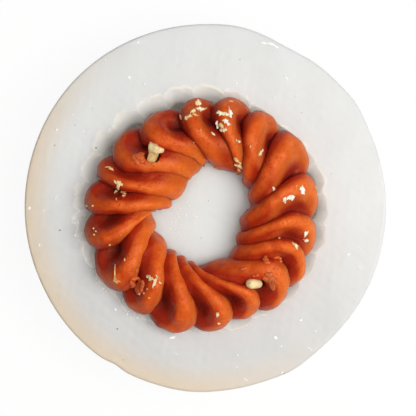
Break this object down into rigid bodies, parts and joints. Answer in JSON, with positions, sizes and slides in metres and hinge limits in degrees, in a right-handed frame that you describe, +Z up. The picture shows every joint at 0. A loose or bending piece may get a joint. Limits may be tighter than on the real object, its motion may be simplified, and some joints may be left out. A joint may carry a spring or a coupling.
{
  "type": "silicone candy mould",
  "caption": "Round silicone candy mould with a rope-ring cavity in its face, and a twisted wreath sweet set with chopped nut that lies over the cavity and lifts off.",
  "frame": {"origin": "centre of the mould's flat underside", "axes": "+Z up out of the face with the cavity, +X to the right and +Y away from the viewer in the picture's view from above"},
  "size_m": [0.0992, 0.1008, 0.0375],
  "materials": {
    "silicone": "satin",
    "candy": "gloss",
    "nut": "matte"
  },
  "bodies": {
    "mould": {"mould_body": "silicone"},
    "wreath": {"wreath_body": "candy", "nut_stick_1": "nut", "nut_stick_2": "nut", "nut_flake_01": "nut", "nut_flake_02": "nut", "nut_flake_03": "nut", "nut_flake_04": "nut", "nut_flake_05": "nut", "nut_flake_06": "nut", "nut_flake_07": "nut", "nut_flake_08": "nut", "nut_flake_09": "nut", "nut_flake_10": "nut", "nut_flake_11": "nut", "nut_flake_12": "nut", "nut_flake_13": "nut", "nut_flake_14": "nut", "nut_flake_15": "nut", "nut_flake_16": "nut", "nut_flake_17": "nut", "nut_flake_18": "nut", "nut_flake_19": "nut", "nut_flake_20": "nut", "nut_flake_21": "nut", "nut_flake_22": "nut"}
  },
  "joints": [
    {"name": "wreath_lift", "type": "slide", "parent": "mould", "child": "wreath", "axis": [0, 0, 1], "range_m": [0, 0.06]}
  ]
}
